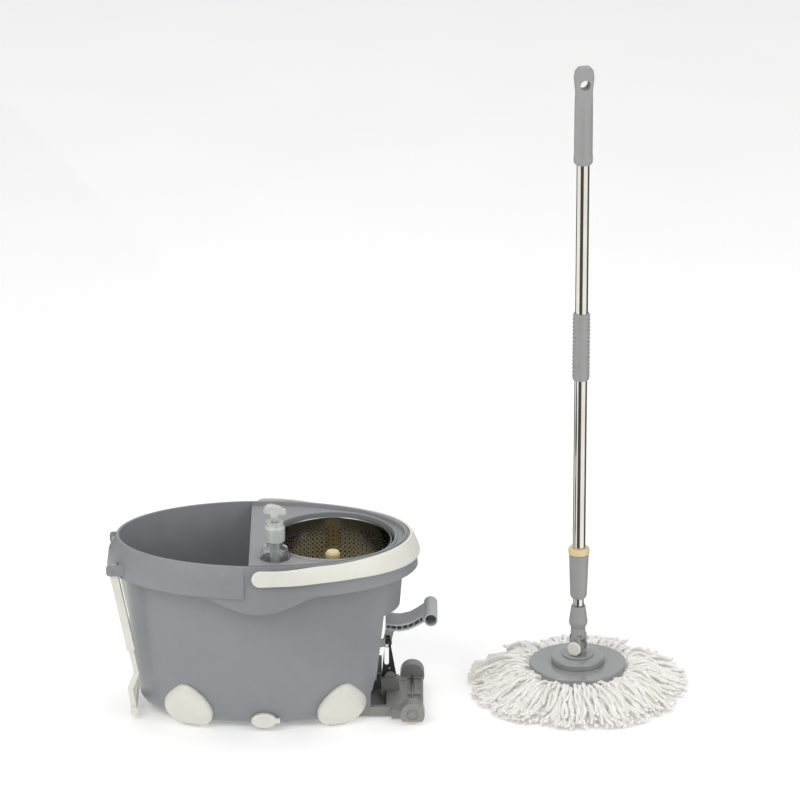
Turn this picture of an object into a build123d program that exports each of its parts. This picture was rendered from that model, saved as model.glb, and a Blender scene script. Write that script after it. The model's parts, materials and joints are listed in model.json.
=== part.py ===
from build123d import *
import math
import os

os.makedirs("parts", exist_ok=True)

# ---------------------------------------------------------------- driving dimensions (mm)
# bucket: half axes of the oval at each height
RIM_Z, CREASE_Z, SKIRT_Z = 287.0, 263.0, 239.0
LIP = (228.0, 137.0)
CREASE = (240.0, 149.0)
SKIRT = (243.0, 152.0)
RIM_RIGHT_IN = 2.5            # right half of the rim is set back under the carry handle
WALL = 3.0
TUB_OUT = [(5.0, 175.0, 90.0), (12.0, 187.0, 99.0), (22.0, 193.0, 104.0), (75.0, 204.0, 114.0),
           (239.0, 218.0, 127.0), (287.0, 227.0, 136.0)]
RIM_STEP_X = -27.0
APRON_LOW_Z, APRON_X0, APRON_X1 = 213.0, -100.0, 92.0

# basket well
BX, BY = 108.0, 0.0
WELL_R, WELL_T = 96.0, 2.2
PLATE_Z0, PLATE_Z1 = 279.0, 282.0
WELL_Z0 = 178.0
BASKET_R, BASKET_Z0, BASKET_Z1, STEEL_T = 90.0, 186.0, 276.0, 1.2
HUB_TOP_Z = 258.0
DIVIDER_X = -20.0

# dispenser
DX, DY = 20.0, -84.0
BOTTLE_R, BOTTLE_Z0, BOTTLE_Z1 = 22.6, 196.0, 298.0
POCKET_R = 23.2
DISP_UP = 4.0                 # the dispenser stands this much above its drawn heights

# drive
PED = (125.0, 80.0)           # pedal pivot X, Z
TUBE = (260.5, 158.0)         # pedal foot bar X, Z
TUBE_R, TUBE_BORE, TUBE_Y0, TUBE_Y1 = 10.5, 8.75, -40.0, 32.0
GUIDE = (192.0, 91.0)
CRANK_R = 38.0
GA = (BX + 36.0 * math.cos(math.radians(20)), BY + 36.0 * math.sin(math.radians(20)))
M1, N1, M2, N2, ND = 2.0, 12, 1.5, 36, 12     # pinion, wheel, driver
PA = math.radians(25.0)
LEVER_Y0, LEVER_Y1 = 27.0, 32.0
WHEEL_X, WHEEL_Z, WHEEL_R = 232.0, 16.5, 16.0
WHEEL_Y = 77.0                # middle of each wheel's tread

# mop
MX, MY = 492.5, 59.0
POLE_R, TUBE_T, INNER_R = 10.0, 0.8, 8.5
HINGE_Z = 72.0
HDIR = (-0.47, -0.8827)       # hinge pin direction in plan
PLATE_R, FLANGE_R = 76.5, 81.5
YARN_R = 178.0
POLE_TOP = 1028.5
GRIP_BOT = 873.0

# row frame: origin at the middle of the whole set's underside
SHIFT_X, SHIFT_Y = 0.0, 0.0   # set below from the extents

CMM = (Align.CENTER, Align.CENTER, Align.MIN)


# ---------------------------------------------------------------- helpers
def box(x0, x1, y0, y1, z0, z1):
    return Pos((x0 + x1) / 2, (y0 + y1) / 2, z0) * Box(x1 - x0, y1 - y0, z1 - z0, align=CMM)


def cyl(r, z0, z1, x=0.0, y=0.0):
    return Pos(x, y, z0) * Cylinder(r, z1 - z0, align=CMM)


def tube(ro, ri, z0, z1, x=0.0, y=0.0):
    return cyl(ro, z0, z1, x, y) - cyl(ri, z0 - 1, z1 + 1, x, y)


def cyly(r, y0, y1, x, z):
    return Pos(x, y0, z) * Rot(-90, 0, 0) * Cylinder(r, y1 - y0, align=CMM)


def cyld(r, t0, t1, x, y, z, d):
    """cylinder along the horizontal direction d"""
    pl = Plane(origin=(x + d[0] * t0, y + d[1] * t0, z), z_dir=(d[0], d[1], 0))
    return pl * Cylinder(r, t1 - t0, align=CMM)


def oval(levels, grow=0.0):
    return loft([Pos(0, 0, z) * Ellipse(a + grow, b + grow) for z, a, b in levels], ruled=True)


def rev(pts, x=0.0, y=0.0):
    """solid of revolution from (r, z) points about the vertical axis at x, y"""
    f = make_face(Polyline([(r, 0, z) for r, z in pts] + [(pts[0][0], 0, pts[0][1])]))
    return Pos(x, y, 0) * revolve(f, Axis.Z)


def xz(pts, y0, y1, rad=None):
    """closed outline in the XZ plane, extruded from y0 to y1"""
    w = Polyline([(px, y0, pz) for px, pz in pts] + [(pts[0][0], y0, pts[0][1])])
    f = make_face(w)
    s = extrude(f, amount=y1 - y0, dir=(0, 1, 0))
    if rad:
        s = fillet(s.edges().filter_by(Axis.Y), rad)
    return s


def seg_xz(p, q, w, y0, y1):
    dx, dz = q[0] - p[0], q[1] - p[1]
    n = math.hypot(dx, dz)
    ux, uz = -dz / n * w / 2, dx / n * w / 2
    return xz([(p[0] + ux, p[1] + uz), (q[0] + ux, q[1] + uz), (q[0] - ux, q[1] - uz), (p[0] - ux, p[1] - uz)], y0, y1)


def one(s):
    s = s.solids() if hasattr(s, "solids") else s
    return s[0] if len(s) == 1 else Compound(list(s))


def gear(m, n, phase, z0, z1, x, y, add=0.8, ded=1.05, lash=0.18):
    """external involute spur gear; a tooth is centred on the angle phase (degrees)"""
    rp = m * n / 2
    rb = rp * math.cos(PA)
    ra, rd = rp + add * m, rp - ded * m
    inv = math.tan(PA) - PA
    half = math.pi / (2 * n) - lash / 2 / rp
    pts = []
    rs = max(rb, rd + 0.02)
    steps = [rs + (ra - rs) * k / 4 for k in range(5)]

    def ang(r):
        a = math.acos(min(1.0, rb / r))
        return half + inv - (math.tan(a) - a)

    for k in range(n):
        c = math.radians(phase) + 2 * math.pi * k / n
        if rd < rs - 0.05:
            pts.append((rd, c - ang(rs)))
        pts += [(r, c - ang(r)) for r in steps]
        pts += [(r, c + ang(r)) for r in reversed(steps)]
        if rd < rs - 0.05:
            pts.append((rd, c + ang(rs)))
    xy = [(x + r * math.cos(a), y + r * math.sin(a)) for r, a in pts]
    f = make_face(Polyline([(px, py, z0) for px, py in xy + [xy[0]]]))
    return extrude(f, amount=z1 - z0, dir=(0, 0, 1))


P = {}

# ================================================================ BUCKET
tub_out = oval(TUB_OUT)
TUB_IN = [(9.0, 172.0, 87.0)] + [(z + (0 if z > 30 else 2), a - WALL, b - WALL) for z, a, b in TUB_OUT[1:-1]] + [(287.5, 224.0, 133.5)]
tub_in = oval(TUB_IN)

rim_l = oval([(SKIRT_Z, *SKIRT), (CREASE_Z, *CREASE), (RIM_Z, *LIP)])
k = RIM_RIGHT_IN
RIM_R = [(SKIRT_Z, SKIRT[0] - k, SKIRT[1] - k), (CREASE_Z, CREASE[0] - k, CREASE[1] - k), (RIM_Z, LIP[0] - 0.5, LIP[1] - 0.5)]
rim_r = oval(RIM_R)
rim = (rim_l & box(-300, RIM_STEP_X, -200, 200, 200, 300)) + (rim_r & box(RIM_STEP_X - 0.5, 300, -200, 200, 200, 300))
rim_in = oval([(SKIRT_Z - 2, SKIRT[0] - k - 3, SKIRT[1] - k - 3), (CREASE_Z - 1, CREASE[0] - k - 3, CREASE[1] - k - 3),
               (RIM_Z - 3.5, 226.0, 135.0)])
# apron: the skirt dips at front and back under the handle pivots
ap_out = oval([(APRON_LOW_Z - 6, SKIRT[0] - k + 1, SKIRT[1] - k + 1), (SKIRT_Z + 1.0, SKIRT[0] - k, SKIRT[1] - k)])
ap_in = oval([(APRON_LOW_Z - 7, SKIRT[0] - k - 2, SKIRT[1] - k - 2), (SKIRT_Z + 1.2, SKIRT[0] - k - 3, SKIRT[1] - k - 3)])
sp = Spline([(APRON_X0, 0, SKIRT_Z + 1), (-70, 0, 231), (-35, 0, 217), (-5, 0, APRON_LOW_Z), (25, 0, 217), (60, 0, 231), (APRON_X1, 0, SKIRT_Z + 1)])
ap_face = make_face([sp, Line((APRON_X0, 0, SKIRT_Z + 1), (APRON_X1, 0, SKIRT_Z + 1))])
ap_cut = extrude(ap_face, amount=200, dir=(0, 1, 0), both=True)
apron = (ap_out - ap_in) & ap_cut

hump_env = box(70, 300, -60, 60, 5, 158) + box(175, 300, -60, 60, 5, 175)
cav = box(73, 300, -57, 57, -5, 155) + box(178, 300, -57, 57, -5, 172)
# wall and floor of the tub, open over the drive
tub = oval(TUB_OUT[:-1] + [(284.8, 226.6, 135.6)])
tub_top_cut = tub
tub = tub - tub_in - cav - (hump_env & box(70, 205, -60, 60, -1, 12))
# flat boss round the drain hole
DRX, DRZ = 1.5, 18.5
drain_boss = (Pos(DRX, -92, DRZ) * Rot(90, 0, 0) * extrude(Ellipse(19.5, 12.0), amount=14)) - tub_in
tub = tub + (drain_boss & box(-30, 40, -110, 0, 5.0, 40))
tub = tub - cyly(8.3, -115, -80, DRX, DRZ)
P["bucket_tub"] = tub
# moulded housing over the drive, fixed into the tub's floor and end wall
hous = (hump_env & (tub_in + box(70, 205, -60, 60, 5.2, 12) & oval([(5.2, 174.0, 89.0)] + TUB_IN[1:]))) - cav
hous = hous & box(70, 215, -60, 60, 9.1, 176)
hous = hous - cyl(10.0, 150, 162, BX, BY)
for s in (-1, 1):
    for px in (80.0, 162.0):
        hous = hous + ((cyl(5.0, 18.2, 60.0, px, s * 52.2) & box(0, 300, -57.4, 57.4, 10, 70)) - cyl(1.5, 10, 40, px, s * 52.2))
hous = hous - P["bucket_tub"]
hous = max(hous.solids(), key=lambda q: q.volume)
P["drive_housing"] = hous
print("housing", [round(q.volume) for q in hous.solids()], "tub", [round(q.volume) for q in P["bucket_tub"].solids()])
# rim band: lip, sloping band, skirt and apron, seated on the tub's edge
HPX, HPZ = -1.5, 272.0
ring = (rim - rim_in) + apron
ring = ring - tub_top_cut - oval([(270.0, 220.6, 129.9), (RIM_Z + 0.5, 224.0, 133.5)])
for s in (-1, 1):
    ring = ring - cyly(4.0, *sorted((s * 130, s * 156)), HPX, HPZ)
    # slots in the skirt for the pull handle's knuckles and pins
    ring = ring - box(-250, -221.0, s * 60 - 7.6, s * 60 + 7.6, 230, 261.0) - cyly(2.5, s * 60 - 12, s * 60 + 12, -231.0, 250.0)
P["bucket_rim"] = max(ring.solids(), key=lambda q: q.volume)

# ---- carry handle: flat band that lies round the right half of the rim
g = 0.6
h_in = [(228.0, RIM_R[0][1] + g + 0.9, RIM_R[0][2] + g + 0.9), (CREASE_Z, RIM_R[1][1] + g, RIM_R[1][2] + g), (RIM_Z, RIM_R[2][1] + g, RIM_R[2][2] + g),
        (302.0, RIM_R[2][1] - 3.0, RIM_R[2][2] - 3.0)]
h_out = [(z, a + 6.0, b + 6.0) for z, a, b in h_in]
band = oval(h_out) - oval([(h_in[0][0] - 1, h_in[0][1] + 0.1, h_in[0][2] + 0.1)] + h_in[1:-1] + [(303.0, h_in[-1][1] - 0.2, h_in[-1][2] - 0.2)])
prof = xz([(25, 260.3), (140, 261.5), (205, 258.5), (260, 256.5), (260, 290.5), (205, 288.5), (140, 286), (115, 285.2), (56, 285.2), (25, 285.4)], -170, 170)
band = band & prof
LUG0, LUG1 = 149.9, 154.4
for s in (-1, 1):
    y0, y1 = sorted((s * LUG0, s * LUG1))
    lug = cyly(14.0, y0, y1, HPX, HPZ) + xz([(HPX, HPZ - 14), (44, 260.4), (44, 285.3), (HPX, HPZ + 14)], y0, y1)
    band = band + lug
for s in (-1, 1):
    y0, y1 = sorted((s * 140, s * 160))
    y0, y1 = sorted((s * 140, s * 153.0))
    band = band - cyly(4.06, y0, y1, HPX, HPZ)
P["carry_handle"] = band
pins = []
for s in (-1, 1):
    a = cyly(4.0, *sorted((s * 136.0, s * 152.7)), HPX, HPZ)
    c = cyly(5.0, *sorted((s * 134.0, s * 136.2)), HPX, HPZ)
    pins.append(one(a + c))
P["handle_pivot_studs"] = Compound(pins)

# ---- basket surround: deck, well wall, divider and dispenser pocket
deck_env = oval([(262.0, 218.6, 127.6), (RIM_Z + 1.5, 223.4, 132.9)])
deck = deck_env & box(DIVIDER_X, 300, -200, 200, PLATE_Z0, PLATE_Z1)
lip = (deck_env - oval([(261.0, 215.4, 124.4), (RIM_Z + 2, 220.6, 130.1)])) & box(DIVIDER_X, 300, -200, 200, 263, RIM_Z + 1.0)
well = tube(WELL_R + WELL_T, WELL_R, WELL_Z0, PLATE_Z1, BX, BY) & oval([(170.0, 208.2, 117.5), (239.0, 214.4, 123.4), (PLATE_Z1 + 1, 221.6, 130.9)])
inner_fit = oval([(170.0, 208.0, 117.0), (PLATE_Z1, 219.6, 128.8)])
divider = box(DIVIDER_X, DIVIDER_X + 2.5, -140, 140, 190, PLATE_Z1) & inner_fit
pocket = cyl(POCKET_R + 1.8, 196.0, PLATE_Z1, DX, DY)
collar = rev([(WELL_R, PLATE_Z0), (WELL_R + 6.0, PLATE_Z0), (WELL_R + 6.0, PLATE_Z1 + 0.4), (WELL_R + 4.5, PLATE_Z1 + 2.2), (WELL_R + 2.5, PLATE_Z1 + 2.8), (WELL_R + 0.8, PLATE_Z1 + 2.0), (WELL_R, PLATE_Z1)], BX, BY)
collar = collar & oval([(PLATE_Z0 - 1, 221.0, 130.4), (PLATE_Z1 + 4, 222.0, 131.4)])
sur = (deck + lip + well + divider + pocket + collar) - cyl(WELL_R, WELL_Z0 - 1, 300, BX, BY)
sur = sur - cyl(POCKET_R, 199.6, 300, DX, DY)
P["basket_surround"] = sur

# ---- basket and its turning parts
bo = [(0, BASKET_Z0), (BASKET_R - 5, BASKET_Z0), (BASKET_R, BASKET_Z0 + 5), (BASKET_R, BASKET_Z1 - 4), (BASKET_R + 3.2, BASKET_Z1 - 2), (BASKET_R + 3.2, BASKET_Z1 + 1.5),
      (BASKET_R + 1.5, BASKET_Z1 + 2.5), (BASKET_R - STEEL_T, BASKET_Z1 + 1.0), (BASKET_R - STEEL_T, BASKET_Z0 + 5.5), (BASKET_R - 5.5, BASKET_Z0 + STEEL_T), (0, BASKET_Z0 + STEEL_T)]
basket = rev(bo, BX, BY) - cyl(7.0, 180, 190, BX, BY)
P["spin_basket"] = basket
P["basket_floor"] = rev([(12.0, 187.4), (80.0, 187.4), (80.0, 189.0), (62, 189.0), (60, 191.0), (30, 191.0), (27, 196.0), (12.0, 196.0)], BX, BY)
hub = rev([(6.05, 187.6), (11.7, 187.6), (11.0, 235.0), (9.0, 240.0), (9.0, 246.0), (11.7, 249.0), (11.7, 254.5), (9.0, HUB_TOP_Z), (0, HUB_TOP_Z), (0, 232.0), (6.05, 232.0)], BX, BY)
P["basket_hub"] = hub
P["drive_spindle"] = rev([(0, 8.0), (4.0, 8.0), (4.0, 30.0), (6.0, 32.0), (6.0, 179.0), (9.5, 179.0), (9.5, 185.6), (6.9, 185.6), (6.9, 187.3), (6.0, 187.3), (6.0, 231.0), (0, 231.0)], BX, BY)
P["spindle_bush"] = tube(10.0, 6.06, 150, 158, BX, BY) + tube(13.0, 6.06, 158, 160, BX, BY)
P["spindle_seal"] = rev([(6.3, 160.2), (12.0, 160.2), (12.0, 161.5), (7.4, 165.5), (6.3, 165.5)], BX, BY)

# ---- gear train
aD = math.degrees(math.atan2(GA[1] - BY, GA[0] - BX))
drv = gear(M2, ND, aD + 180.0 / ND, 19.5, 25.5, BX, BY, lash=0.34) + cyl(7.3, 25.4, 29.5, BX, BY)
P["driver_gear"] = drv - cyl(4.06, 10, 40, BX, BY)
big = gear(M2, N2, aD + 180.0, 19.5, 25.5, *GA, lash=0.34)
pin = gear(M1, N1, 90.0, 25.3, 34.5, *GA)
P["compound_gear"] = (big + pin) - cyl(3.06, 10, 40, *GA)
P["gear_shaft"] = cyl(3.0, 4.5, 37.5, *GA) + cyl(5.0, 35.2, 37.5, *GA)

# rack: teeth face the pinion, tongue at the back, fork for the crank tip
rp = GA[1] + M1 * N1 / 2
pitch = math.pi * M1
hw = pitch / 4 - 0.09
ta = math.tan(PA)
RX0, RX1 = 112.0, 176.0
top, bot = rp - 0.8 * M1, rp + 1.05 * M1
pts = [(RX0, rp + 9.7), (RX0, bot)]
kk = math.ceil((RX0 + 8 - GA[0]) / pitch)
c = GA[0] + (kk + 0.5) * pitch
while c + 3.0 < RX1:
    pts += [(c - hw - (bot - rp) * ta, bot), (c - hw + (rp - top) * ta, top), (c + hw - (rp - top) * ta, top), (c + hw + (bot - rp) * ta, bot)]
    c += pitch
pts += [(RX1, bot), (RX1, rp + 9.7)]
rf = make_face(Polyline([(px, py, 27.0) for px, py in pts + [pts[0]]]))
rack = extrude(rf, amount=7.0, dir=(0, 0, 1))
rack = rack + box(RX0, RX1, rp + 9.6, rp + 13.6, 29.0, 32.0)
tip_r, gap = 5.0, 0.9
rack = rack + box(PED[0] - tip_r - gap - 5, PED[0] - tip_r - gap, LEVER_Y0 + 0.5, rp + 9.7, 33.9, 47.0)
rack = rack + box(PED[0] + tip_r + gap, PED[0] + tip_r + gap + 5, LEVER_Y0 + 0.5, rp + 9.7, 33.9, 47.0)
P["drive_rack"] = rack

# ---- base plate with the wheel guards, and the frame that carries the drive
base = box(73.2, 200, -56.9, 56.9, 3, 18) + box(199, 249, -67, 67, 3, 18) - box(80, 222, -47.5, 47.5, 6.5, 19)
base = base + cyl(7.5, 4.0, 18.0, BX, BY) + cyl(6.5, 4.0, 18.5, *GA)
base = base + box(183, 211, 10, 26.0, 4, 38.0) + (cyly(9.0, 14.5, 17.9, 197.0, 38.0))
for s in (-1, 1):
    y0, y1 = sorted((s * (WHEEL_Y - 11), s * (WHEEL_Y + 11)))
    base = base + (cyly(19.0, y0, y1, WHEEL_X, WHEEL_Z + 2) & box(200, 280, -110, 110, 6.5, 60))
for s in (-1, 1):
    y0, y1 = sorted((s * (WHEEL_Y - 8.5), s * (WHEEL_Y + 9.0)))
    base = base - cyly(17.0, y0, y1, WHEEL_X, WHEEL_Z)
    base = base - box(WHEEL_X - 17, WHEEL_X + 17, y0, y1, 0, WHEEL_Z)
    yy0, yy1 = sorted((s * (WHEEL_Y + 8.0), s * (WHEEL_Y + 13.0)))
    base = base - cyly(9.0, yy0, yy1, WHEEL_X, WHEEL_Z + 2)
# recessed field on the deck of the base, with the raised cross bar
base = base - (box(224, 245, -58, -6, 15.5, 19) + box(224, 245, 6, 58, 15.5, 19))
base = base - cyly(2.5, -110, 110, WHEEL_X, WHEEL_Z)
for px in (80.0, 162.0):
    for s in (-1, 1):
        base = base - cyl(1.6, 0, 20, px, s * 52.2)
base = base - cyl(4.06, 7.5, 40, BX, BY) - cyl(3.0, 4.5, 40, *GA)
P["drive_base"] = base
P["base_screws"] = Compound([one(cyl(1.5, 2.9, 32.0, px, s * 52.2) + cyl(3.2, 1.2, 3.0, px, s * 52.2)) for px in (80.0, 162.0) for s in (-1, 1)])
fr = box(98, 184, 42.0, 46.0, 6.6, 62) + box(112, 138, 42.0, 46.0, 60, 92)
fr = fr + box(100, 184, rp + 10.1, 42.1, 27.0, 35.0) - box(90, 190, rp + 9.9, rp + 14.0, 28.7, 32.3)
fr = fr + cyly(7.0, 33.0, 43.0, *PED)
fr = fr - cyly(3.0, 20, 50, *PED)
P["drive_frame"] = fr
P["pedal_pivot_pin"] = cyly(3.0, 25.2, 46.0, *PED) + cyly(5.5, 23.6, 25.4, *PED)

# guide bracket, an A-shaped plate with an upright slot
gb = xz([(189.5, 100), (196.5, 100), (206.0, 44), (207.0, 38.1), (183.6, 38.1), (186.0, 62)], 18.0, 22.0)
gb = gb - (box(188.1, 195.1, 10, 30, 60, 93) + cyly(3.5, 10, 30, 191.6, 93) + cyly(3.5, 10, 30, 191.6, 60))
gb = gb - cyly(1.4, 10, 30, 196.0, 51.0)
P["guide_bracket"] = gb

# ---- pedal
lev = seg_xz(PED, GUIDE, 12, LEVER_Y0, LEVER_Y1) + seg_xz(GUIDE, (201, 134), 13, LEVER_Y0, LEVER_Y1) + seg_xz(PED, (PED[0], PED[1] - CRANK_R), 7, LEVER_Y0, LEVER_Y1)
lev = lev + cyly(9.0, LEVER_Y0, LEVER_Y1, *PED) + cyly(8.0, LEVER_Y0, LEVER_Y1, *GUIDE) + cyly(tip_r, LEVER_Y0, LEVER_Y1, PED[0], PED[1] - CRANK_R)
lev = lev + cyly(6.5, LEVER_Y0, LEVER_Y1, 201, 134)
lev = lev - cyly(3.06, 20, 40, *PED) - cyly(1.9, 20, 40, *GUIDE)
P["pedal_lever"] = lev
P["guide_pin"] = cyly(1.9, 16.5, LEVER_Y1, *GUIDE)
ARM_LOW = [(190, 136), (200, 133.6), (212, 132.6), (225, 135), (237, 140.5), (248, 147), (257, 150)]
ARM_TOP = [(257, 166), (248, 161), (240, 154.8), (228, 147.8), (214, 144.4), (200, 144.8), (190, 146.6)]
arm = xz(ARM_LOW + ARM_TOP, -25, 20)
hol = xz([(190.0, 139.0), (200, 136.6), (212, 135.6), (224.5, 138), (236, 143.3), (247, 149.8), (247, 157.0), (240, 151.6), (228, 144.8), (214, 141.4), (200, 141.8), (192.5, 143.2)], -26, 14.0)
for rx in (198, 207, 216, 225, 234, 243):
    hol = hol - box(rx - 0.8, rx + 0.8, -24.2, 15, 130, 165)
arm = arm - hol
arm = arm + cyly(TUBE_R, TUBE_Y0, TUBE_Y1, *TUBE)
arm = arm - cyly(TUBE_BORE, TUBE_Y0 - 1, TUBE_Y1 + 1, *TUBE)
arm = arm + xz([(192, 137), (212, 134), (207, 124), (203, 115), (196, 116), (192, 120)], 13.0, 26.95)
P["pedal_arm"] = arm
# pedal return spring round the pivot boss
hx = Helix(pitch=2.3, height=6.9, radius=8.6)
coil = sweep(Plane(origin=hx @ 0, z_dir=hx % 0) * Circle(0.9), path=hx)
P["pedal_spring"] = Pos(PED[0], 34.2, PED[1]) * Rot(-90, 0, 0) * coil

# ---- wheels
wcap = []
for s, nm in ((-1, "front"), (1, "back")):
    y0, y1 = sorted((s * (WHEEL_Y - 7.5), s * (WHEEL_Y + 7.5)))
    w = cyly(WHEEL_R, y0, y1, WHEEL_X, WHEEL_Z)
    w = fillet(w.edges(), 2.0)
    P["wheel_" + nm] = w - cyly(2.56, y0 - 1, y1 + 1, WHEEL_X, WHEEL_Z)
    q0, q1 = sorted((s * (WHEEL_Y + 9.1), s * (WHEEL_Y + 11.6)))
    cap = cyly(8.9, q0, q1, WHEEL_X, WHEEL_Z + 2) - (Pos(WHEEL_X, s * (WHEEL_Y + 23.5), WHEEL_Z + 2) * Sphere(13.5))
    wcap.append(one(cap))
P["wheel_guard_caps"] = Compound(wcap)
P["wheel_axle"] = cyly(2.5, -WHEEL_Y - 8.4, WHEEL_Y + 8.4, WHEEL_X, WHEEL_Z)

# ---- feet: leaf-shaped pads wrapped round the lower edge of the tub
FOOT_OUT = oval([(0.0, 197.0, 113.5), (8.0, 203.5, 118.5), (24.0, 207.5, 121.0), (60.0, 212.0, 123.5), (90.0, 214.5, 124.8)])
FOOT_IN = oval([(-1.0, 160.0, 74.0), (5.0, 160.0, 74.0)])
leaf = [(-125, 72), (-138, 62), (-151, 44), (-155, 28), (-150, 13), (-136, 2), (-122, -3), (-98, -3), (-85, 4), (-78, 18), (-79, 34), (-91, 53), (-110, 69)]
pads = []
for sx, sy in ((1, -1), (-1, -1), (1, 1), (-1, 1)):
    y0, y1 = sorted((sy * 20, sy * 160))
    f = xz([((px * sx) + (6 if sx < 0 else 0), pz) for px, pz in leaf], y0, y1)
    foot = (f & FOOT_OUT) - oval(TUB_OUT, 0.02) - FOOT_IN
    if sx < 0:
        foot = foot - box(60, 300, -57.5, 57.5, -1, 90)
    so = sorted(foot.solids(), key=lambda q: -q.volume)
    pads.append(so[0])
P["foot_pads"] = Compound(children=pads)

# ---- drain plug
pl = Pos(DRX, -106.4, DRZ) * Rot(90, 0, 0) * extrude(Ellipse(19.5, 11.5), amount=6.0)
pl = pl - (Pos(DRX, -125.5, DRZ + 1) * Sphere(15.0))
pl = pl + cyly(7.7, -106.6, -93.0, DRX, DRZ)
pl = pl + box(DRX + 16.5, DRX + 25.0, -112.0, -107.5, DRZ - 4, DRZ + 3.5)
P["drain_plug"] = pl
gk = cyly(8.2, -97.5, -95.5, DRX, DRZ) - cyly(7.75, -99, -94, DRX, DRZ)
P["plug_seal"] = gk

# ---- telescopic pull handle on the left end
HX, HZ, AY = -231.0, 250.0, 60.0
d = (26.0 / 134.54, -132.0 / 134.54)
nrm = (-d[1], d[0])


def along(t, w=0.0):
    return (HX + d[0] * t + nrm[0] * w, HZ + d[1] * t + nrm[1] * w)


def bar_xz(t0, t1, w, y0, y1):
    return xz([along(t0, w), along(t1, w), along(t1, -w), along(t0, -w)], y0, y1)


br, pn, sl = [], [], []
rods = None
for s in (-1, 1):
    yc = s * AY
    b = box(-241.5, -205, yc - 10.5, yc + 10.5, 244, 262) - box(-245, HX + 9.0, yc - 7.4, yc + 7.4, 230, 270) - cyly(9.5, yc - 7.4, yc + 7.4, HX, HZ)
    b = fillet(b.edges().filter_by(Axis.Y).group_by(Axis.X)[0], 5.0)
    b = b - oval([(SKIRT_Z - 10, SKIRT[0] + 1.25, SKIRT[1] + 1.25), (CREASE_Z, *CREASE), (RIM_Z, *LIP)], 0.02)
    b = b - cyly(2.5, yc - 12, yc + 12, HX, HZ)
    so = sorted(b.solids(), key=lambda q: -q.volume)
    br.append(so[0])
    pn.append(one(cyly(2.5, yc - 10.4, yc + 10.4, HX, HZ)))
    t = bar_xz(6.0, 134.5, 6.2, yc - 6.8, yc + 6.8) + cyly(7.0, yc - 6.8, yc + 6.8, HX, HZ)
    t = t - bar_xz(13.0, 140.0, 4.3, yc - 4.8, yc + 4.8) - cyly(2.56, yc - 12, yc + 12, HX, HZ)
    sl.append(t)
    r1 = bar_xz(14.5, 176.0, 3.9, yc - 4.4, yc + 4.4)
    p1 = along(175.0)
    r2 = seg_xz(p1, (-207.0, 52.0), 7.6, yc - 4.4, yc + 4.4) + cyly(3.8, yc - 4.4, yc + 4.4, *p1)
    r3 = seg_xz((-207.0, 52.0), (-202.0, 20.0), 8.0, yc - 4.4, yc + 4.4) + cyly(4.0, yc - 4.4, yc + 4.4, -207.0, 52.0)
    rr = r1 + r2 + r3
    rods = rr if rods is None else rods + rr
P["pull_handle_brackets"] = Compound([one(b) for b in br])
P["pull_handle_pins"] = Compound(pn)
P["pull_handle_sleeves"] = Compound([one(b) for b in sl])
gripbar = box(-207.5, -196.5, -AY - 6.5, AY + 6.5, 8.5, 22.0)
gripbar = fillet(gripbar.edges().filter_by(Axis.Y), 3.5)
P["pull_handle_loop"] = rods + gripbar
# ---- soap dispenser
bot = rev([(0, BOTTLE_Z0), (BOTTLE_R - 2, BOTTLE_Z0), (BOTTLE_R, BOTTLE_Z0 + 2), (BOTTLE_R, BOTTLE_Z1 - 12), (BOTTLE_R - 3, BOTTLE_Z1 - 4), (13.0, BOTTLE_Z1), (12.0, 306.0),
           (12.0, 316.0), (10.6, 316.0), (10.6, 300.0), (11.8, BOTTLE_Z1 - 1.6), (BOTTLE_R - 4.2, BOTTLE_Z1 - 5.4), (BOTTLE_R - 1.5, BOTTLE_Z1 - 12.5), (BOTTLE_R - 1.5, BOTTLE_Z0 + 2.5), (BOTTLE_R - 2.5, BOTTLE_Z0 + 1.5), (0, BOTTLE_Z0 + 1.5)], DX, DY)
P["soap_bottle"] = bot
col = rev([(12.05, 306.5), (15.4, 306.5), (15.7, 308.0), (15.7, 328.0), (14.6, 330.0), (13.4, 332.0), (13.4, 336.5), (6.3, 336.5), (6.3, 333.0), (12.05, 319.5)], DX, DY)
for i in range(30):
    an = 12.0 * i
    col = col - (Pos(DX, DY, 0) * Rot(0, 0, an) * box(15.15, 16.5, -0.55, 0.55, 309.5, 327.0))
P["pump_collar"] = col
P["pump_body"] = rev([(4.3, 262.0), (7.4, 262.0), (7.4, 316.4), (10.4, 316.4), (12.0, 316.2), (12.0, 318.5), (6.2, 318.5), (6.2, 270.0), (4.3, 268.0)], DX, DY) + rev([(2.1, 240.0), (4.5, 240.0), (4.5, 262.0), (2.1, 262.0)], DX, DY)
P["dip_tube"] = tube(2.05, 1.2, 199.0, 256.0, DX, DY)
hs = Helix(pitch=4.6, height=23.0, radius=4.7)
P["pump_spring"] = Pos(DX, DY, 271.0) * sweep(Plane(origin=hs @ 0, z_dir=hs % 0) * Circle(0.5), path=hs)
P["pump_stem"] = cyl(3.0, 296.5, 347.0, DX, DY) + cyl(5.9, 296.5, 300.5, DX, DY)
ph = rev([(3.05, 343.0 - 0.2), (5.6, 343.0 - 0.2), (7.8, 346.5), (8.2, 352.0), (8.2, 358.0), (0, 358.0), (0, 347.4), (3.05, 347.4)], DX, DY)
noz = xz([(DX - 16.5, 353.0), (DX - 6, 352.0), (DX + 8, 350.0), (DX + 17.0, 351.0), (DX + 18.0, 354.5), (DX + 8, 361.0), (DX - 6, 364.5), (DX - 13.5, 362.5), (DX - 17.5, 357.0)], DY - 6.5, DY + 6.5)
noz = fillet(noz.edges().filter_by(Axis.Y), 1.6)
ph = ph + (noz - cyl(3.05, 340, 347.4, DX, DY))
ph = ph - (Pos(DX - 18, DY, 355.6) * Rot(0, 90, 0) * Cylinder(1.6, 12))
P["pump_head"] = ph

# ================================================================ MOP
HD = HDIR
SD = (HD[1], -HD[0])
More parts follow.
